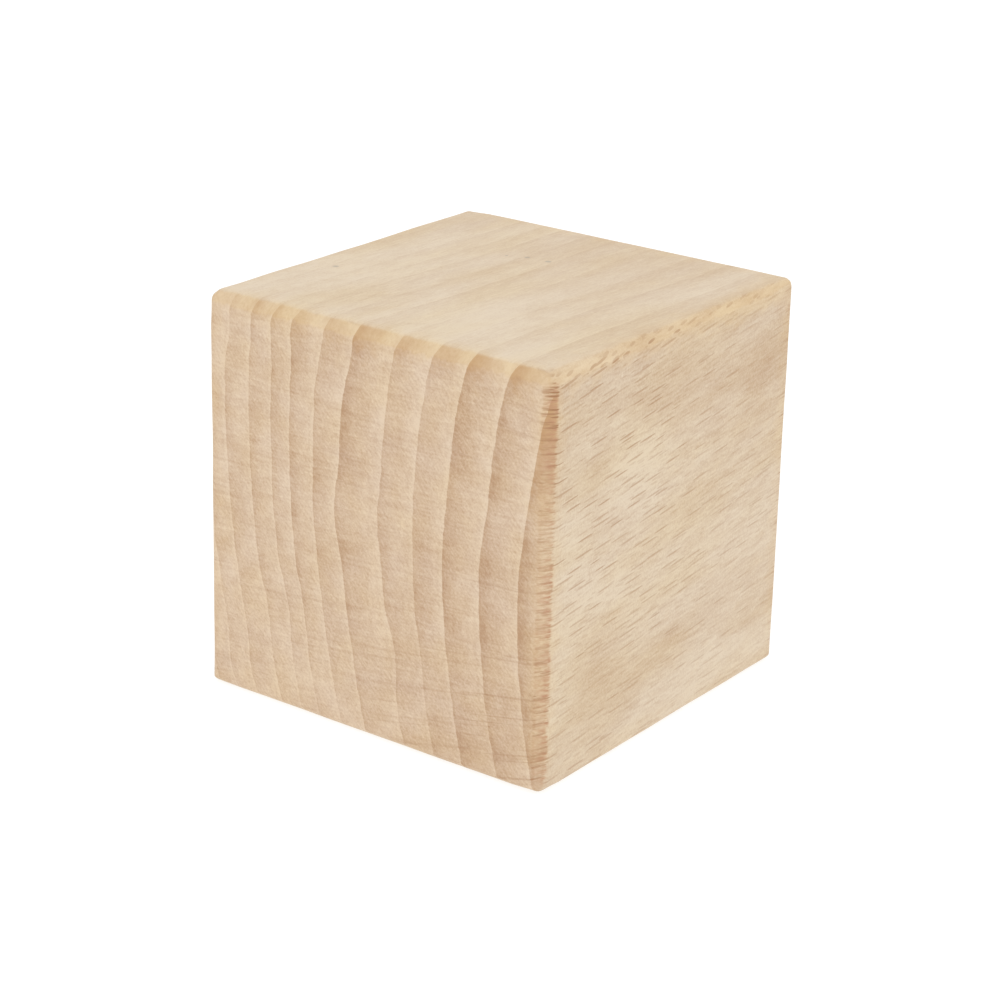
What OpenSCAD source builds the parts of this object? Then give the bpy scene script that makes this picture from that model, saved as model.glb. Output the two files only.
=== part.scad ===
// Solid wooden cube. One block of timber is sawn and planed square, and every
// one of its edges is then broken by a flat 45 degree chamfer. The grain runs
// along Y, so the two end-grain faces look along -Y and +Y.
// The origin is at the centre of the face that the block stands on.

/* [Block] */
// Width across the growth rings, along X, in mm
block_width = 50; // [30:1:80]
// Depth along the grain, along Y, in mm
block_depth = 50; // [30:1:80]
// Height, along Z, in mm
block_height = 50; // [30:1:80]

/* [Edges] */
// Leg of the chamfer, measured along each face that it cuts, in mm
edge_chamfer = 1.4; // [0.4:0.1:5]

/* [Hidden] */

// Outline of a rectangle centred on the origin, with its four corners cut at 45 degrees
function chamfered_rectangle(width, height, leg) =
    let (x = width / 2, y = height / 2)
    [
        [x - leg, -y], [x, leg - y],
        [x, y - leg], [x - leg, y],
        [leg - x, y], [-x, y - leg],
        [-x, leg - y], [leg - x, -y]
    ];

// Bar with chamfered long edges, centred on the origin and lying along Z
module chamfered_bar(width, height, length) {
    linear_extrude(height = length, center = true)
        polygon(chamfered_rectangle(width, height, edge_chamfer));
}

// What three crossed bars share has all twelve edges chamfered,
// and at each corner the three chamfers meet in a point
module wooden_cube() {
    color("burlywood")
        translate([0, 0, block_height / 2])
            intersection() {
                chamfered_bar(block_width, block_depth, block_height);
                rotate([90, 0, 0])
                    chamfered_bar(block_width, block_height, block_depth);
                rotate([90, 0, 90])
                    chamfered_bar(block_depth, block_height, block_width);
            }
}

wooden_cube();
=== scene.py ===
"""A solid beech cube: the finish of its planed faces, its end grain and its chamfered edges.

The block is one piece of timber, so one wood pattern runs right through it. Everything in that
pattern is worked out in millimetres from the axis of the tree that the timber was sawn from.
"""
import math
from types import SimpleNamespace

import bmesh
import bpy
from mathutils import Matrix, Vector, noise


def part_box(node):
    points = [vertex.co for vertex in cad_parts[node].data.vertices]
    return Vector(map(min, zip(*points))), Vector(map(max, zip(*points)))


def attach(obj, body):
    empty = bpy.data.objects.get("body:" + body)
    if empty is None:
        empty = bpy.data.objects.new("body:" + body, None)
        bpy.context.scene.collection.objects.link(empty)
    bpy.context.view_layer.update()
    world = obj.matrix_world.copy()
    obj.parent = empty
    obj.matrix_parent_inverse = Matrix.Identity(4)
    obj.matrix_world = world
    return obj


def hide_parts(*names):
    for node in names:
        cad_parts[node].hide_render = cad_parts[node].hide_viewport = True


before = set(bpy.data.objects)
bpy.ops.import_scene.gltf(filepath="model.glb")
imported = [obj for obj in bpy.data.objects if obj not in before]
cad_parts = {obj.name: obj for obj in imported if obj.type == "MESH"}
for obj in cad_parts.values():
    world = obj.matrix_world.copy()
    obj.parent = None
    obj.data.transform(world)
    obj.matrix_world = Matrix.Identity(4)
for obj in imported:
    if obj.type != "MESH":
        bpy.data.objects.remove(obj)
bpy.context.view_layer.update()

MM = 0.001
BLOCK = "wooden_cube"
low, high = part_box(BLOCK)
centre = (low + high) / 2
width, depth, height = (high - low) / MM

# The edges, in mm: how far each chamfer reaches over its two faces, and how far its arrises are rounded
CHAMFER_LEG = 1.4
ARRIS_ROUNDING = 0.5
ARRIS_SEGMENTS = 4

# The sander wanders, so each chamfer's legs grow and shrink by this share along its length
LEG_WANDER = 0.12
LEG_WANDER_LENGTH = 9.0
# Some edges were cut lighter, or steeper: the edge's direction, its sides on the next two axes,
# and each leg's share of a whole one at the edge's two ends
EDGE_CUTS = {
    (1, 1, 1): ((1.1, 0.8), (0.95, 0.55)),
    (0, 1, 1): ((0.5, 0.5), (0.5, 0.5)),
    (0, -1, -1): ((0.5, 0.5), (0.5, 0.5)),
    (1, -1, 1): ((0.5, 0.5), (0.5, 0.5)),
    (1, -1, -1): ((0.5, 0.5), (0.5, 0.5)),
    (0, 1, -1): ((0.5, 0.5), (0.5, 0.5)),
    (2, 1, 1): ((0.42, 0.55), (0.42, 0.55)),
    (2, -1, -1): ((0.6, 0.85), (0.6, 0.85)),
}

# A chamfer's change of width fades out over this many times its reach
EDGE_CHANGE_FADE = 2.2

# The mesh that the surface waves are worked into, in mm, and how near a cut counts as on a vertex, in m
CELL = 1.1
EDGE_SUPPORT = 0.35
CUT_TOLERANCE = 1e-7

# Sanding leaves the surface a few hundredths of a millimetre off flat
FACE_WAVE = 0.025
FACE_WAVE_LENGTH = 14.0
EDGE_WAVE = 0.04
EDGE_WAVE_LENGTH = 5.0
EDGE_WAVE_PLACE = Vector((7, 3, 5))

# How strongly the large flats steer the shading of their borders, out of 100
FLATS_LEAD = 100

# The strip left empty round each side in the flat layout for the baked picture, as a share of a side
LAYOUT_BORDER = 0.006
LATER_AXIS_LEAD = 0.001

# The tree, in mm: where its heart lies from the bottom of the front face's centre line,
# how far the rings lean, and how the grain drifts sideways and climbs along the block
HEART_SIDEWAYS = 103.0
HEART_HEIGHT = 30.0
HEART_LEAN = 0.35
GRAIN_DRIFT = 0.05
GRAIN_RISE = 0.07
GRAIN_RISE_WITH_HEIGHT = 0.0012

# Growth rings from the heart outwards: where the first one starts, and each one's width in mm
# with how brown its late wood is
FIRST_RING_RADIUS = 70.9
RINGS = (
    (5.4, 0.8), (5.5, 1.0), (5.4, 0.85), (5.2, 0.85), (4.3, 0.45), (4.7, 0.5), (6.1, 0.85),
    (3.9, 0.5), (3.6, 0.65), (2.8, 0.5), (3.4, 0.55), (3.7, 0.4), (3.3, 0.4), (3.4, 0.5),
    (3.2, 0.4), (3.5, 0.5), (3.0, 0.4))

# Where the rings swell or pinch: sideways, up, reach, and how far they shift there, in mm
RING_BENDS = (
    (-3.0, 27.0, 7.5, -1.0), (3.5, 11.5, 7.5, 0.95), (-13.0, 13.0, 7.5, 0.75),
    (16.0, 34.0, 10.0, 0.5), (-4.0, 47.0, 7.5, 0.65), (-13.5, 48.0, 6.0, -0.6),
    (-20.0, 3.0, 6.5, -0.9), (24.0, 47.0, 8.0, -0.8), (-22.0, 46.0, 5.5, 0.6))

# Behind the front face the rings sway by some mm, fully so past a depth, and everywhere they ripple
RING_SWAY = 3.0
RING_SWAY_DEPTH = 30.0
RING_RIPPLE = 0.24

# The colour through one ring, from its inner line (0) to the next one (1): the sharp line,
# the brown late wood, and where the pale early wood has faded out and where it starts to
RING_LINE = ((0.0, 0.15), (0.02, 0.0), (0.93, 0.0), (0.965, 1.0), (0.99, 1.0), (1.0, 0.4))
LATE_WOOD = (
    (0.0, 0.0), (0.22, 0.0), (0.38, 0.22), (0.65, 0.45), (0.82, 0.72), (0.94, 0.95), (1.0, 0.9))
EARLY_WOOD = (0.16, 0.03)

# Rays fan out from a point beyond the heart, because the rings flatten towards the front right edge
RAY_CENTRE_SIDEWAYS = 125.0
RAY_CENTRE_HEIGHT = 29.0

# Each size of ray, in mm out from the heart, along the grain and round the tree: the cell that holds
# one ray, half the ray itself, and where in the random pattern its cells begin
BIG_RAYS = ((24.0, 4.6, 1.35), (11.5, 2.0, 0.17), 0.33)
SMALL_RAYS = ((9.0, 2.2, 0.8), (4.0, 0.85, 0.17), 17.3)
FINE_RAYS = ((6.0, 2.0, 0.55), (2.9, 1.0, 0.15), 41.7)

# Paler and browner patches on the right side: along, up, reach in mm, and how much browner
SIDE_PATCHES = (
    (10.5, 14.0, 8.0, 0.5), (43.0, 38.0, 7.0, 0.3), (33.5, 35.0, 4.0, 0.35), (26.0, 8.5, 6.0, 0.3),
    (17.0, 36.0, 9.0, -0.5), (4.0, 30.0, 7.0, -0.4))

# How brown the front upright edge is from its foot to its top, as shares of the height
UPRIGHT_EDGE_TONE = (
    (0.0, 0.30), (0.12, 0.32), (0.30, 0.37), (0.48, 0.30), (0.60, 0.08), (0.70, 0.06), (0.78, 0.38),
    (0.90, 0.42), (0.96, 0.52), (1.0, 0.4))

# Small grey marks on the top face: sideways, along, radius in mm
TOP_MARKS = ((-1.4, 35.8, 0.42), (-4.4, 35.6, 0.38), (-19.4, 17.2, 0.40), (-6.8, 34.6, 0.2))

# Random textures: the share of their distance along the grain that counts, which draws them out
# the more the smaller it is, their size in mm, their detail and their roughness
GRAIN_TEXTURES = {
    "ragged": (0.5, 1.1, 2.0, 0.5),
    "pores": (0.08, 0.26, 2.0, 0.65),
    "grit": (1.0, 0.24, 1.0, 0.5),
    "streaks": (0.14, 0.55, 2.0, 0.5),
    "mottle": (0.22, 3.0, 3.0, 0.6),
    "clouds": (0.22, 10.0, 2.0, 0.5),
    "warmth": (0.22, 5.0, 2.0, 0.5),
    "patches": (0.22, 7.0, 2.0, 0.6),
    "sway": (0.22, 14.0, 1.0, 0.5),
    "ripple": (0.22, 2.2, 2.0, 0.5),
}

# How far each texture pushes the colour towards brown or back towards pale: the texture, how far
# its values lie from the middle, and the push
SIDE_TEXTURES = (("streaks", 0.25, 0.14), ("pores", 0.3, 0.22), ("grit", 0.3, 0.26))
END_TEXTURES = (
    ("mottle", 0.25, 0.18), ("pores", 0.3, 0.29), ("strokes", 0.3, 0.22), ("saw_lines", 0.25, 0.13))

# Where each zone of the surface fades in. Facing: how squarely the surface faces that way, from 0 to 1.
# The rest in mm: inset from a face or an edge, sideways from the middle, or up from the foot.
FACING_END_GRAIN = (0.45, 0.9)
FACING_FRONT_OR_BACK = (0.3, 0.6)
FACING_TOP = (0.8, 0.98)
CHAMFER_INSET = (0.05, 0.28)
CHAMFER_RAGGEDNESS = 0.12
# The band beside each edge that turns golden, partly with painted sheen, and its ragged border
HANDLED_AND_SHEEN_BAND = (3.4, 1.2)
HANDLED_AND_SHEEN_RAGGEDNESS = 0.9
UPRIGHT_EDGE_BAND = (1.65, 1.25)
UPRIGHT_EDGE_END = (0.6, 2.2)
LOW_RIGHT_UP = (27.0, 12.0)
LOW_RIGHT_SIDEWAYS = (-8.0, 16.0)
TOP_LEFT_UP = (34.0, 46.0)
TOP_LEFT_SIDEWAYS = (2.0, -18.0)
UPPER_SIDE_INSET = (1.2, 0.3)
UPPER_SIDE_UP = (40.0, 46.0)

# Colours
SIDE_PALE = (0.720, 0.602, 0.456)
SIDE_BROWN = (0.515, 0.356, 0.232)
END_PALE = (0.740, 0.590, 0.440)
END_BROWN = (0.475, 0.300, 0.184)
# The golds of the edges hold their own sanded tone and painted sheen
SIDE_GOLD = (0.82, 0.645, 0.395)
FRONT_GOLD = (0.75, 0.57, 0.325)
DARK_GOLD = (0.62, 0.415, 0.21)
SINGED_LATE_WOOD = (0.50, 0.285, 0.13)
UPRIGHT_EDGE_BROWN = (0.50, 0.275, 0.165)
WARM_TINT = (1.0, 0.985, 0.92)
RAY_BROWN = (0.39, 0.205, 0.10)
MARK_GREY = (0.33, 0.29, 0.24)

# How brown the wood is on the whole, and what the rings add to it or take from it
SIDE_BROWNNESS = 0.15
RINGS_ON_SIDES = 0.17
RINGS_ON_TOP = 0.26
END_BROWNNESS = 0.25
RINGS_ON_END_GRAIN = 0.62
RING_LINE_SHARE = 0.10
EARLY_WOOD_PALENESS = 0.14
LOW_RIGHT_BROWNNESS = 0.14
TOP_LEFT_PALENESS = 0.06

# How golden the edges are, partly their own sanded tone and partly painted sheen: on any chamfer,
# more on the top front one and less on the upright ones, and in the band beside an edge, more so high on
# the sides
GOLD_ON_CHAMFER = 0.22
GOLD_ADDED_ON_TOP_FRONT = 0.13
GOLD_TAKEN_FROM_UPRIGHT = 0.09
GOLD_BY_EDGE = 0.15
GOLD_BY_UPPER_SIDE = 0.27

# How clearly the rays show, from 0 to 1
RAYS_ON_END_GRAIN = 0.12
RAYS_ADDED_LOW_RIGHT = 0.30
RAYS_ON_SIDES_IN_FRONT = 0.78
RAYS_ON_SIDES_AT_BACK = 0.36
RAYS_ON_TOP = 0.07
RAYS_LOST_ON_END_CHAMFER = 0.8
RAYS_ADDED_ON_UPRIGHT_EDGE = 0.62
RAYS_ADDED_ON_TOP_RIGHT = 0.22
SMALL_RAY_SHARE = 0.45
FINE_RAY_SHARE = 0.8
MARK_STRENGTH = 0.5

# The bare sanded surface: its roughness between and on the pores, its gloss, and the relief that
# opened pores and sunken rays leave, in m, with how much of it shows
ROUGHNESS = (0.52, 0.72)
GLOSS = 0.35
REFRACTION = 1.45
RELIEF_HEIGHT = 0.00008
RELIEF_STRENGTH = 0.6

# The studio: angles in degrees, lengths in m unless they say otherwise, power in watts
CAMERA_AZIMUTH = 36.25
CAMERA_ELEVATION = 20.76
CAMERA_ROLL = 1.397
CAMERA_DISTANCE = 0.3283
CAMERA_LENS = 97.4
SENSOR_WIDTH = 36.0
NEAREST_SEEN = 0.01
AIM_OFF_CENTRE_MM = Vector((0.57, -0.60, -2.17))
ROOM_BRIGHTNESS = 0.95
SOFTBOX_AZIMUTH = 60
SOFTBOX_ELEVATION = 65
SOFTBOX_DISTANCE = 1.0
SOFTBOX_SIZE = 1.2
SOFTBOX_POWER = 2.0
TABLE_RADIUS = 3.0
TABLE_GREY = 0.35
TABLE_GLOW = 0.75


# ---------------------------------------------------------------- the block's shape

def planed_block():
    """A squared block with all twelve edges planed off at 45 degrees."""
    block = bmesh.new()
    bmesh.ops.create_cube(block, size=1)
    bmesh.ops.scale(block, vec=high - low, verts=block.verts)
    bmesh.ops.translate(block, vec=centre, verts=block.verts)
    for first, second in ((0, 1), (1, 2), (0, 2)):
        for first_side in (-1, 1):
            for second_side in (-1, 1):
                plane_edge(block, first, first_side, second, second_side)
    return block


def plane_edge(block, first, first_side, second, second_side):
    """Planes off the edge where two faces meet, each given by its axis and its side."""
    outward = Vector((0, 0, 0))
    outward[first] = first_side
    outward[second] = second_side
    edge = centre + (high - low) / 2 * outward
    for axis in (first, second):
        edge[axis] = (high if outward[axis] > 0 else low)[axis]
    on_chamfer = edge.copy()
    on_chamfer[first] -= first_side * CHAMFER_LEG * MM
    everything = block.verts[:] + block.edges[:] + block.faces[:]
    cut = bmesh.ops.bisect_plane(
        block, geom=everything, dist=CUT_TOLERANCE, plane_co=on_chamfer, plane_no=outward,
        clear_outer=True)
    rim = [part for part in cut["geom_cut"] if isinstance(part, bmesh.types.BMEdge)]
    bmesh.ops.holes_fill(block, edges=rim)


def soften_arrises(block):
    """Rounds the sharp lines that the plane left."""
    bmesh.ops.bevel(
        block, geom=block.edges[:], offset=ARRIS_ROUNDING * MM, offset_type="OFFSET",
        segments=ARRIS_SEGMENTS, profile=0.5, affect="EDGES", clamp_overlap=True, material=-1)


def slice_into_cells(block):
    """Cuts the whole surface into small cells, with a narrow row beside each edge."""
    margin = CHAMFER_LEG + ARRIS_ROUNDING + EDGE_SUPPORT
    for axis, length in enumerate((width, depth, height)):
        count = math.ceil((length - 2 * margin) / CELL)
        normal = Vector((0, 0, 0))
        normal[axis] = 1
        for step in range(count + 1):
            place = low.copy()
            place[axis] += (margin + (length - 2 * margin) * step / count) * MM
            everything = block.verts[:] + block.edges[:] + block.faces[:]
            bmesh.ops.bisect_plane(
                block, geom=everything, dist=CUT_TOLERANCE, plane_co=place, plane_no=normal)


def fade(value, start, end):
    """1 up to start, 0 from end on, and straight in between."""
    return max(0.0, min(1.0, (end - value) / (end - start)))


def chamfer_legs(along, first, second, side, offset):
    """How many times as long as usual an edge's two legs are at one place."""
    edge_number = 9 * along + 3 * side[first] + side[second]
    legs = []
    for leg in range(2):
        own_line = Vector((offset[along] / LEG_WANDER_LENGTH, 2.3 * edge_number, 5.1 * leg))
        legs.append(1 + LEG_WANDER * noise.noise(own_line))
    cuts = EDGE_CUTS.get((along, side[first], side[second]), ((1, 1), (1, 1)))
    share = 0.5 + offset[along] / (width, depth, height)[along]
    return [leg * (start + share * (end - start)) for leg, (start, end) in zip(legs, cuts)]


def shape_edges(block):
    """Lets every chamfer's width wander. The flats stay in their planes."""
    half = (high - low) / 2 / MM
    reach = CHAMFER_LEG + ARRIS_ROUNDING
    for vert in block.verts:
        offset = (vert.co - centre) / MM
        side = [1 if part > 0 else -1 for part in offset]
        insets = [half[axis] - abs(offset[axis]) for axis in range(3)]
        change = [0, 0, 0]
        weight = [0, 0, 0]
        for along, first, second in ((0, 1, 2), (1, 2, 0), (2, 0, 1)):
            nearness = fade(max(insets[first], insets[second]), reach, EDGE_CHANGE_FADE * reach)
            legs = chamfer_legs(along, first, second, side, offset)
            for axis, leg in ((first, legs[0]), (second, legs[1])):
                change[axis] += nearness * (leg - 1)
                weight[axis] += nearness
        for axis in range(3):
            inset = insets[axis] * (1 + change[axis] / max(1, weight[axis]))
            vert.co[axis] = centre[axis] + side[axis] * (half[axis] - inset) * MM


def edge_nearness(point):
    """1 on a chamfer or an arris, 0 on the flat of a face."""
    insets = sorted(min(point[axis] - low[axis], high[axis] - point[axis]) for axis in range(3))
    return fade(insets[1] / MM, CHAMFER_LEG, 1.5 * CHAMFER_LEG)


def wear_surface(block):
    """Moves every point of the surface inwards by the small waves that sanding leaves."""
    block.normal_update()
    inwards = [-vert.normal for vert in block.verts]
    for vert, direction in zip(block.verts, inwards):
        here = vert.co / MM
        face = 0.5 + 0.5 * noise.noise(here / FACE_WAVE_LENGTH)
        edge = 0.5 + 0.5 * noise.noise(here / EDGE_WAVE_LENGTH + EDGE_WAVE_PLACE)
        depth_in = face * FACE_WAVE + edge * EDGE_WAVE * edge_nearness(vert.co)
        vert.co += direction * depth_in * MM


def lay_out_faces(block):
    """Lays the six sides out flat, three across and two up, for the baked picture.

    A chamfer goes with one of its two sides, and the small lead of the later axis settles which.
    """
    layer = block.loops.layers.uv.new("OFBake")
    filled = 1 - 2 * LAYOUT_BORDER
    for face in block.faces:
        axis = max(range(3), key=lambda i: abs(face.normal[i]) + LATER_AXIS_LEAD * i)
        across, up = [i for i in range(3) if i != axis]
        row = 1 if face.normal[axis] > 0 else 0
        for loop in face.loops:
            share_across = (loop.vert.co[across] - low[across]) / (high[across] - low[across])
            share_up = (loop.vert.co[up] - low[up]) / (high[up] - low[up])
            loop[layer].uv = (
                (axis + LAYOUT_BORDER + share_across * filled) / 3,
                (row + LAYOUT_BORDER + share_up * filled) / 2)


def make_block(material):
    block = planed_block()
    soften_arrises(block)
    slice_into_cells(block)
    shape_edges(block)
    wear_surface(block)
    lay_out_faces(block)
    bmesh.ops.recalc_face_normals(block, faces=block.faces)
    mesh = bpy.data.meshes.new("beech_block")
    block.to_mesh(mesh)
    block.free()
    mesh.polygons.foreach_set("use_smooth", [True] * len(mesh.polygons))
    mesh.materials.append(material)
    piece = bpy.data.objects.new("beech_block", mesh)
    bpy.context.scene.collection.objects.link(piece)
    keep_flats_flat = piece.modifiers.new("keep_flats_flat", "WEIGHTED_NORMAL")
    keep_flats_flat.weight = FLATS_LEAD
    return piece


# ---------------------------------------------------------------- small tools for the wood pattern

class Pattern:
    """Adds shader nodes to one material, so that each part of the pattern reads as a sum."""

    def __init__(self, tree):
        self.tree = tree

    def add(self, kind, sockets, **settings):
        node = self.tree.nodes.new(kind)
        for name, value in settings.items():
            setattr(node, name, value)
        for name, source in sockets.items():
            self.feed(node.inputs[name], source)
        return node

    def feed(self, socket, source):
        if isinstance(source, bpy.types.NodeSocket):
            self.tree.links.new(source, socket)
        else:
            socket.default_value = source

    def calculate(self, operation, *values):
        return self.add("ShaderNodeMath", dict(enumerate(values)), operation=operation).outputs[0]

    def plus(self, a, b):
        return self.calculate("ADD", a, b)

    def minus(self, a, b):
        return self.calculate("SUBTRACT", a, b)

    def times(self, a, b):
        return self.calculate("MULTIPLY", a, b)

    def vector(self, x, y, z):
        return self.add("ShaderNodeCombineXYZ", {0: x, 1: y, 2: z}).outputs[0]

    def ramp(self, value, start, end, low_value=0.0, high_value=1.0):
        """A smooth step from low_value to high_value as value goes from start to end."""
        sockets = {"Value": value, "From Min": start, "From Max": end,
                   "To Min": low_value, "To Max": high_value}
        return self.add("ShaderNodeMapRange", sockets, interpolation_type="SMOOTHSTEP").outputs[0]

    def rescale(self, value, start, end, low_value=0.0, high_value=1.0):
        """The same as ramp, but straight."""
        sockets = {"Value": value, "From Min": start, "From Max": end,
                   "To Min": low_value, "To Max": high_value}
        return self.add("ShaderNodeMapRange", sockets).outputs[0]

    def either_way(self, value, spread, push):
        """From -push to push as value goes from spread below its middle, 0.5, to spread above it."""
        return self.rescale(value, 0.5 - spread, 0.5 + spread, -push, push)

    def distance(self, place, point):
        sockets = {0: place, 1: point}
        return self.add("ShaderNodeVectorMath", sockets, operation="DISTANCE").outputs["Value"]

    def curve(self, value, points, handles="VECTOR"):
        """Reads value off a drawn curve. Its points are (value, result), both from 0 to 1."""
        node = self.add("ShaderNodeFloatCurve", {"Factor": 1.0, "Value": value})
        drawn = node.mapping.curves[0]
        while len(drawn.points) < len(points):
            drawn.points.new(0.5, 0.5)
        for point, (x, y) in zip(drawn.points, points):
            point.location = (x, y)
            point.handle_type = handles
        node.mapping.update()
        return node.outputs[0]

    def blend_value(self, amount, first, second):
        """first where amount is 0, second where it is 1."""
        return self.add("ShaderNodeMix", {0: amount, 2: first, 3: second}).outputs[0]

    def cloud(self, place, size, detail=2.0, roughness=0.5):
        """Soft random patches about size mm across, from 0 to 1."""
        sockets = {"Vector": place, "Scale": 1.0 / size, "Detail": detail, "Roughness": roughness}
        return self.add("ShaderNodeTexNoise", sockets, noise_dimensions="3D").outputs["Fac"]

    def blend(self, amount, first, second, blend_type="MIX"):
        node = self.add("ShaderNodeMix", {0: amount}, data_type="RGBA", blend_type=blend_type)
        for socket, colour in ((node.inputs[6], first), (node.inputs[7], second)):
            if isinstance(colour, tuple):
                colour = (*colour, 1.0)
            self.feed(socket, colour)
        return node.outputs[2]


# ---------------------------------------------------------------- the wood

def grain_frame(p, x, y, z):
    """Where a point of the block lay in the tree, in mm: sideways, along the grain, and up."""
    along = p.plus(y, depth / 2)
    sideways = p.minus(x, p.times(along, GRAIN_DRIFT))
    rise = p.plus(p.times(z, GRAIN_RISE_WITH_HEIGHT), GRAIN_RISE)
    up = p.minus(z, p.times(along, rise))
    return sideways, along, up


def find_spot(p):
    """A point of the block in its own mm and in the tree's, and which way the surface faces there."""
    coordinates = p.add("ShaderNodeTexCoord", {})
    in_mm = p.add("ShaderNodeVectorMath", {0: coordinates.outputs["Object"], "Scale": 1 / MM},
                  operation="SCALE")
    x, y, z = p.add("ShaderNodeSeparateXYZ", {0: in_mm.outputs[0]}).outputs
    sideways, along, up = grain_frame(p, x, y, z)
    normal = p.add("ShaderNodeSeparateXYZ", {0: coordinates.outputs["Normal"]})
    return SimpleNamespace(
        x=x, y=y, z=z, sideways=sideways, along=along, up=up,
        facing_y=p.calculate("ABSOLUTE", normal.outputs[1]),
        facing_z=p.calculate("ABSOLUTE", normal.outputs[2]))


def wood_clouds(p, spot):
    """The random textures that the colour is mixed from, each from 0 to 1."""
    x, z, sideways, along, up = spot.x, spot.z, spot.sideways, spot.along, spot.up
    found = {}
    for name, (along_share, size, detail, roughness) in GRAIN_TEXTURES.items():
        place = p.vector(sideways, p.times(along, along_share), up)
        found[name] = p.cloud(place, size, detail, roughness)
    brushed = p.vector(p.times(p.minus(x, z), 0.22), p.times(along, 0.1), p.times(p.plus(x, z), 0.7))
    found["strokes"] = p.cloud(brushed, 0.28, 1.0)
    sawn = p.vector(p.times(x, 0.05), p.times(along, 0.1), p.plus(z, p.times(x, -0.05)))
    found["saw_lines"] = p.cloud(sawn, 0.32, 2.0)
    across_edge = p.vector(p.times(sideways, 0.15), p.times(along, 0.3), up)
    found["edge_lines"] = p.cloud(across_edge, 0.34, 2.0, 0.7)
    return SimpleNamespace(**found)


def edge_insets(p, spot):
    """In mm: how far a point lies from the nearest face, edge, upright edge, side, and top or foot."""
    inset_x = p.minus(width / 2, p.calculate("ABSOLUTE", spot.x))
    inset_y = p.minus(depth / 2, p.calculate("ABSOLUTE", spot.y))
    inset_z = p.minus(height / 2, p.calculate("ABSOLUTE", p.minus(spot.z, height / 2)))
    nearest = p.calculate("MINIMUM", p.calculate("MINIMUM", inset_x, inset_y), inset_z)
    smaller = p.calculate("MINIMUM", inset_x, inset_y)
    to_upright = p.calculate("MAXIMUM", inset_x, inset_y)
    to_edge = p.calculate("MAXIMUM", smaller, p.calculate("MINIMUM", to_upright, inset_z))
    return nearest, to_edge, to_upright, inset_x, inset_z


def find_zones(p, spot, cloud):
    """The zones of the surface: 1 inside each and 0 outside it."""
    nearest, to_edge, to_upright, inset_x, inset_z = edge_insets(p, spot)
    chamfer_border = p.either_way(cloud.ragged, 0.2, CHAMFER_RAGGEDNESS)
    chamfer = p.ramp(p.plus(nearest, chamfer_border), *CHAMFER_INSET)
    handled_and_sheen_border = p.either_way(cloud.ragged, 0.2, HANDLED_AND_SHEEN_RAGGEDNESS)
    upright_edge = p.times(p.ramp(to_upright, *UPRIGHT_EDGE_BAND), p.ramp(inset_z, *UPRIGHT_EDGE_END))
    # The front right one shows its rays best, the left ones and the back ones less
    upright_edge = p.times(upright_edge, p.ramp(spot.x, -5.0, 5.0, 0.3, 1.0))
    upright_edge = p.times(upright_edge, p.ramp(spot.along, depth, 0.0, 0.4, 1.0))
    # Its chamfer is browner towards the side face
    towards_side = p.ramp(inset_x, 0.1, 1.2, 1.25, 0.45)
    upper_side = p.times(p.ramp(inset_x, *UPPER_SIDE_INSET), p.ramp(spot.z, *UPPER_SIDE_UP))
    return SimpleNamespace(
        end_grain=p.ramp(spot.facing_y, *FACING_END_GRAIN),
        front_or_back=p.ramp(spot.facing_y, *FACING_FRONT_OR_BACK),
        top=p.ramp(spot.facing_z, *FACING_TOP),
        low_right=p.times(p.ramp(spot.z, *LOW_RIGHT_UP), p.ramp(spot.x, *LOW_RIGHT_SIDEWAYS)),
        top_left=p.times(p.ramp(spot.z, *TOP_LEFT_UP), p.ramp(spot.x, *TOP_LEFT_SIDEWAYS)),
        chamfer=chamfer,
        by_edge=p.ramp(p.plus(to_edge, handled_and_sheen_border), *HANDLED_AND_SHEEN_BAND),
        upright_edge=upright_edge,
        upright_chamfer=p.times(p.times(chamfer, upright_edge), towards_side),
        upper_side=upper_side,
        top_right_chamfer=p.times(upper_side, chamfer))


def ring_radius(p, spot, cloud):
    """How far a point lies from the heart, measured so that a whole ring has one radius."""
    across = p.minus(HEART_SIDEWAYS, spot.sideways)
    lean = p.plus(p.minus(spot.up, HEART_HEIGHT), p.times(spot.sideways, HEART_LEAN))
    radius = p.calculate("SQRT", p.plus(p.times(across, across), p.times(lean, lean)))
    cross_section = p.vector(spot.sideways, 0.0, spot.up)
    for bend_x, bend_z, reach, shift in RING_BENDS:
        distance = p.distance(cross_section, (bend_x, 0.0, bend_z))
        radius = p.plus(radius, p.ramp(distance, reach, 0.0, 0.0, shift))
    sway = p.times(p.either_way(cloud.sway, 0.5, RING_SWAY), p.ramp(spot.along, 0.0, RING_SWAY_DEPTH))
    return p.plus(radius, p.plus(sway, p.either_way(cloud.ripple, 0.5, RING_RIPPLE)))


def growth_rings(p, radius):
    """Each ring's sharp outer line, its late wood as brown as it grew, and its pale early wood."""
    span = sum(ring_width for ring_width, tone in RINGS)
    steps = [(0.0, 0.0)]
    tones = [(0.0, RINGS[0][1])]
    reached = 0.0
    for number, (ring_width, tone) in enumerate(RINGS, 1):
        reached += ring_width
        steps.append((reached / span, number / len(RINGS)))
        tones.append((number / len(RINGS), tone))
    share = p.rescale(radius, FIRST_RING_RADIUS, FIRST_RING_RADIUS + span)
    counted = p.curve(share, steps)
    through = p.calculate("FRACT", p.times(counted, float(len(RINGS))))
    return SimpleNamespace(
        line=p.curve(through, RING_LINE),
        late_wood=p.times(p.curve(through, LATE_WOOD), p.curve(counted, tones)),
        early_wood=p.ramp(through, *EARLY_WOOD))


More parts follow.
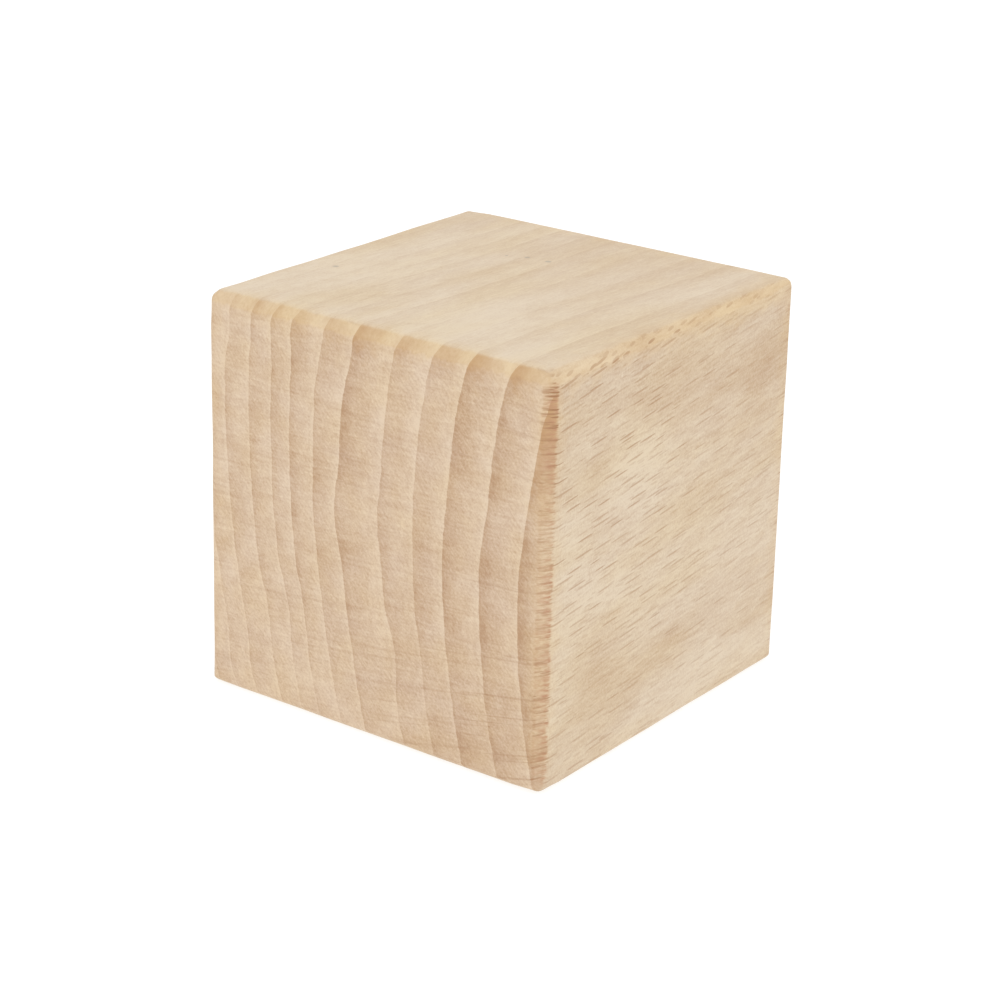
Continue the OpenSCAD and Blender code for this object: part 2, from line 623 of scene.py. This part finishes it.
def ray_plates(p, spot, cell, half_size, shift):
    """Rays as thin upright sheets, up to 1 in their middle and 0 outside."""
    across = p.minus(RAY_CENTRE_SIDEWAYS, spot.sideways)
    rise = p.minus(spot.up, RAY_CENTRE_HEIGHT)
    out = p.calculate("SQRT", p.plus(p.times(across, across), p.times(rise, rise)))
    arc = p.times(p.calculate("ARCTAN2", rise, across), RAY_CENTRE_SIDEWAYS)
    place = p.vector(*(
        p.plus(p.times(part, 1 / size), shift) for part, size in zip((out, spot.along, arc), cell)))
    seeds = p.add("ShaderNodeTexVoronoi", {"Vector": place, "Scale": 1.0},
                  voronoi_dimensions="3D", feature="F1")
    off = p.add("ShaderNodeVectorMath", {0: place, 1: seeds.outputs["Position"]}, operation="SUBTRACT")
    stretch = tuple(size / half for size, half in zip(cell, half_size))
    scaled = p.add("ShaderNodeVectorMath", {0: off.outputs[0], 1: stretch}, operation="MULTIPLY")
    distance = p.add("ShaderNodeVectorMath", {0: scaled.outputs[0]}, operation="LENGTH").outputs["Value"]
    plate = p.ramp(distance, 1.0, 0.7)
    chance = p.add("ShaderNodeSeparateColor", {0: seeds.outputs["Color"]}).outputs[0]
    return p.times(plate, p.rescale(chance, 0.0, 1.0, 0.2, 1.0))


def rays(p, spot, zone):
    """Big and small rays everywhere, with fine ones added where a chamfer cuts across them."""
    small_rays = p.times(ray_plates(p, spot, *SMALL_RAYS), SMALL_RAY_SHARE)
    found = p.calculate("MAXIMUM", ray_plates(p, spot, *BIG_RAYS), small_rays)
    cut_across = p.plus(zone.upright_edge, zone.top_right_chamfer)
    fine_rays = p.times(p.times(ray_plates(p, spot, *FINE_RAYS), cut_across), FINE_RAY_SHARE)
    return p.calculate("MAXIMUM", found, fine_rays)


def ray_contrast(p, spot, zone):
    """How clearly rays show: as dashes on the sides, as faint lines on end grain and on top."""
    on_end_grain = p.plus(p.times(zone.low_right, RAYS_ADDED_LOW_RIGHT), RAYS_ON_END_GRAIN)
    on_sides = p.ramp(spot.along, 0.0, depth, RAYS_ON_SIDES_IN_FRONT, RAYS_ON_SIDES_AT_BACK)
    on_sides = p.times(on_sides, p.ramp(spot.z, 0.0, 32.0, 0.6, 1.0))
    on_sides = p.blend_value(zone.top, on_sides, RAYS_ON_TOP)
    contrast = p.blend_value(zone.end_grain, on_sides, on_end_grain)
    lost = p.times(p.times(zone.chamfer, zone.front_or_back), RAYS_LOST_ON_END_CHAMFER)
    contrast = p.times(contrast, p.minus(1.0, lost))
    cut_across = p.plus(
        p.times(zone.upright_edge, RAYS_ADDED_ON_UPRIGHT_EDGE),
        p.times(zone.top_right_chamfer, RAYS_ADDED_ON_TOP_RIGHT))
    return p.plus(contrast, cut_across)


def side_patches(p, spot):
    """How much browner or paler the right side is from place to place."""
    place = p.vector(spot.x, spot.along, spot.z)
    browner = p.ramp(p.plus(spot.z, p.times(spot.along, 0.09)), 40.0, 45.0, 0.0, 0.3)
    browner = p.times(browner, p.ramp(spot.x, width / 2 - 3.0, width / 2 - 1.0))
    for patch_along, patch_up, reach, change in SIDE_PATCHES:
        distance = p.distance(place, (width / 2, patch_along, patch_up))
        browner = p.plus(browner, p.ramp(distance, reach, 0.0, 0.0, change))
    return browner


def long_grain(p, spot, zone, cloud, ring):
    """The sides, the top and the foot: faint rings, streaks and soft patches."""
    rings = p.times(ring.late_wood, p.blend_value(zone.top, RINGS_ON_SIDES, RINGS_ON_TOP))
    dark = p.plus(SIDE_BROWNNESS, rings)
    dark = p.plus(dark, p.rescale(cloud.clouds, 0.3, 0.7, -0.08, 0.20))
    dark = p.plus(dark, p.either_way(cloud.mottle, 0.25, 0.12))
    fineness = p.blend_value(zone.top, 1.0, 0.65)
    for name, spread, push in SIDE_TEXTURES:
        dark = p.plus(dark, p.times(p.either_way(getattr(cloud, name), spread, push), fineness))
    dark = p.plus(dark, p.times(side_patches(p, spot), 0.5))
    dark = p.plus(dark, p.times(zone.top, p.ramp(spot.along, 0.0, depth, -0.10, 0.09)))
    return p.blend(dark, SIDE_PALE, SIDE_BROWN)


def end_grain(p, spot, zone, cloud, ring):
    """The front and the back: a sharp line and brown late wood in each ring, under a speckle of pores."""
    late_shade = p.ramp(spot.up, 8.0, 22.0, 0.6, 1.0)
    late_shade = p.times(late_shade, p.rescale(cloud.patches, 0.35, 0.65, 0.62, 1.25))
    rings = p.plus(p.times(ring.line, RING_LINE_SHARE), p.times(ring.late_wood, late_shade))
    dark = p.minus(END_BROWNNESS, p.times(ring.early_wood, EARLY_WOOD_PALENESS))
    dark = p.plus(dark, p.times(rings, RINGS_ON_END_GRAIN))
    for name, spread, push in END_TEXTURES:
        dark = p.plus(dark, p.either_way(getattr(cloud, name), spread, push))
    dark = p.plus(dark, p.rescale(cloud.clouds, 0.3, 0.7, -0.08, 0.12))
    dark = p.plus(dark, p.times(zone.low_right, LOW_RIGHT_BROWNNESS))
    dark = p.minus(dark, p.times(zone.top_left, TOP_LEFT_PALENESS))
    return p.blend(dark, END_PALE, END_BROWN)


def handled_edges_and_sheen(p, spot, zone, cloud, ring, colour):
    """Handling and sanding leave the edges golden, with painted sheen in that gold, browner where late
    wood meets them.
    """
    # The gold is partly painted sheen: most on the top front chamfer and high on the sides, less on the
    # upright ones
    pale_gold = p.blend(zone.front_or_back, SIDE_GOLD, FRONT_GOLD)
    gold = p.blend(p.rescale(cloud.mottle, 0.3, 0.7), pale_gold, DARK_GOLD)
    top_front = p.times(zone.front_or_back, p.ramp(spot.z, 42.0, 47.0, 0.0, GOLD_ADDED_ON_TOP_FRONT))
    upright = p.times(zone.upright_edge, GOLD_TAKEN_FROM_UPRIGHT)
    on_chamfer = p.minus(p.plus(top_front, GOLD_ON_CHAMFER), upright)
    near_edge = p.blend_value(zone.upper_side, GOLD_BY_EDGE, GOLD_BY_UPPER_SIDE)
    amount = p.plus(p.times(zone.chamfer, on_chamfer), p.times(zone.by_edge, near_edge))
    # Less gold, and with it less painted sheen, towards the foot
    colour = p.blend(p.times(amount, p.ramp(spot.z, 0.0, 6.0, 0.2, 1.0)), colour, gold)

    singed = p.times(p.times(zone.by_edge, zone.front_or_back), p.ramp(spot.z, 30.0, 46.0))
    singed = p.times(p.times(singed, ring.late_wood), p.ramp(spot.x, -14.0, 2.0, 0.25, 0.75))
    colour = p.blend(singed, colour, SINGED_LATE_WOOD)

    tone = p.curve(p.times(spot.z, 1 / height), UPRIGHT_EDGE_TONE, "AUTO")
    tone = p.plus(tone, p.either_way(cloud.edge_lines, 0.25, 0.8))
    return p.blend(p.times(zone.upright_chamfer, tone), colour, UPRIGHT_EDGE_BROWN)


def top_marks(p, spot):
    """Small grey marks left on the top face."""
    place = p.vector(spot.x, spot.along, spot.z)
    found = 0.0
    for mark_x, mark_along, radius in TOP_MARKS:
        distance = p.distance(place, (mark_x, mark_along, height))
        found = p.calculate("MAXIMUM", found, p.ramp(distance, radius * 1.3, radius * 0.5))
    return found


def sanded_beech():
    material = bpy.data.materials.new("sanded_beech")
    material.use_nodes = True
    tree = material.node_tree
    tree.nodes.clear()
    p = Pattern(tree)

    spot = find_spot(p)
    cloud = wood_clouds(p, spot)
    zone = find_zones(p, spot, cloud)
    ring = growth_rings(p, ring_radius(p, spot, cloud))
    ray = rays(p, spot, zone)

    long_colour = long_grain(p, spot, zone, cloud, ring)
    end_colour = end_grain(p, spot, zone, cloud, ring)
    colour = p.blend(zone.end_grain, long_colour, end_colour)
    colour = handled_edges_and_sheen(p, spot, zone, cloud, ring, colour)
    colour = p.blend(p.rescale(cloud.warmth, 0.35, 0.65), colour, WARM_TINT, "MULTIPLY")
    colour = p.blend(p.times(ray, ray_contrast(p, spot, zone)), colour, RAY_BROWN)
    colour = p.blend(p.times(top_marks(p, spot), MARK_STRENGTH), colour, MARK_GREY)

    roughness = p.rescale(cloud.pores, 0.2, 0.8, *ROUGHNESS)
    relief = p.plus(p.times(cloud.pores, 0.5), p.times(cloud.streaks, 0.5))
    relief = p.minus(relief, p.times(ray, 0.5))
    bump = p.add("ShaderNodeBump", {
        "Strength": RELIEF_STRENGTH, "Distance": RELIEF_HEIGHT, "Height": relief})
    surface = p.add("ShaderNodeBsdfPrincipled", {
        "Base Color": colour, "Roughness": roughness, "Normal": bump.outputs[0],
        "IOR": REFRACTION, "Specular IOR Level": GLOSS})
    p.add("ShaderNodeOutputMaterial", {"Surface": surface.outputs[0]})
    return material


# ---------------------------------------------------------------- studio

def light_table():
    """Matt acrylic that glows white from below, so that the lower edges aren't lost in shade."""
    material = bpy.data.materials.new("light_table")
    material.use_nodes = True
    shader = material.node_tree.nodes["Principled BSDF"]
    shader.inputs["Base Color"].default_value = (TABLE_GREY, TABLE_GREY, TABLE_GREY, 1.0)
    shader.inputs["Roughness"].default_value = 0.9
    shader.inputs["Specular IOR Level"].default_value = 0.0
    shader.inputs["Emission Color"].default_value = (1.0, 1.0, 1.0, 1.0)
    shader.inputs["Emission Strength"].default_value = TABLE_GLOW
    return material


def add_floor():
    floor = bmesh.new()
    bmesh.ops.create_circle(floor, cap_ends=True, segments=64, radius=TABLE_RADIUS)
    mesh = bpy.data.meshes.new("floor")
    floor.to_mesh(mesh)
    floor.free()
    mesh.materials.append(light_table())
    piece = bpy.data.objects.new("floor", mesh)
    bpy.context.scene.collection.objects.link(piece)


def direction(azimuth, elevation):
    """Unit vector from the block towards a compass angle (0 is the front) and a height angle."""
    turn, climb = math.radians(azimuth), math.radians(elevation)
    return Vector((math.sin(turn) * math.cos(climb), -math.cos(turn) * math.cos(climb), math.sin(climb)))


def look_matrix(back, roll):
    """Turns a camera or a lamp so that it looks against back, rolled by some degrees."""
    right = Vector((0, 0, 1)).cross(back).normalized()
    upward = back.cross(right)
    level = Matrix((right, upward, back)).transposed()
    return level @ Matrix.Rotation(math.radians(roll), 3, "Z")


def add_camera():
    back = direction(CAMERA_AZIMUTH, CAMERA_ELEVATION)
    stand = centre + AIM_OFF_CENTRE_MM * MM + back * CAMERA_DISTANCE
    data = bpy.data.cameras.new("camera")
    data.lens = CAMERA_LENS
    data.sensor_width = SENSOR_WIDTH
    data.clip_start = NEAREST_SEEN
    camera = bpy.data.objects.new("camera", data)
    camera.matrix_world = Matrix.Translation(stand) @ look_matrix(back, CAMERA_ROLL).to_4x4()
    bpy.context.scene.collection.objects.link(camera)
    bpy.context.scene.camera = camera


def add_softbox():
    lamp = bpy.data.lights.new("overhead_softbox", "AREA")
    lamp.shape = "DISK"
    lamp.size = SOFTBOX_SIZE
    lamp.energy = SOFTBOX_POWER
    piece = bpy.data.objects.new("overhead_softbox", lamp)
    back = direction(SOFTBOX_AZIMUTH, SOFTBOX_ELEVATION)
    stand = centre + back * SOFTBOX_DISTANCE
    piece.matrix_world = Matrix.Translation(stand) @ look_matrix(back, 0).to_4x4()
    bpy.context.scene.collection.objects.link(piece)


def add_lights():
    world = bpy.data.worlds.new("white_studio")
    world.use_nodes = True
    background = world.node_tree.nodes["Background"]
    background.inputs["Color"].default_value = (1.0, 1.0, 1.0, 1.0)
    background.inputs["Strength"].default_value = ROOM_BRIGHTNESS
    bpy.context.scene.world = world
    add_softbox()


add_camera()
add_lights()
add_floor()
block = make_block(sanded_beech())
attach(block, "root")
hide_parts(BLOCK)
bpy.context.scene.view_settings.view_transform = "Standard"
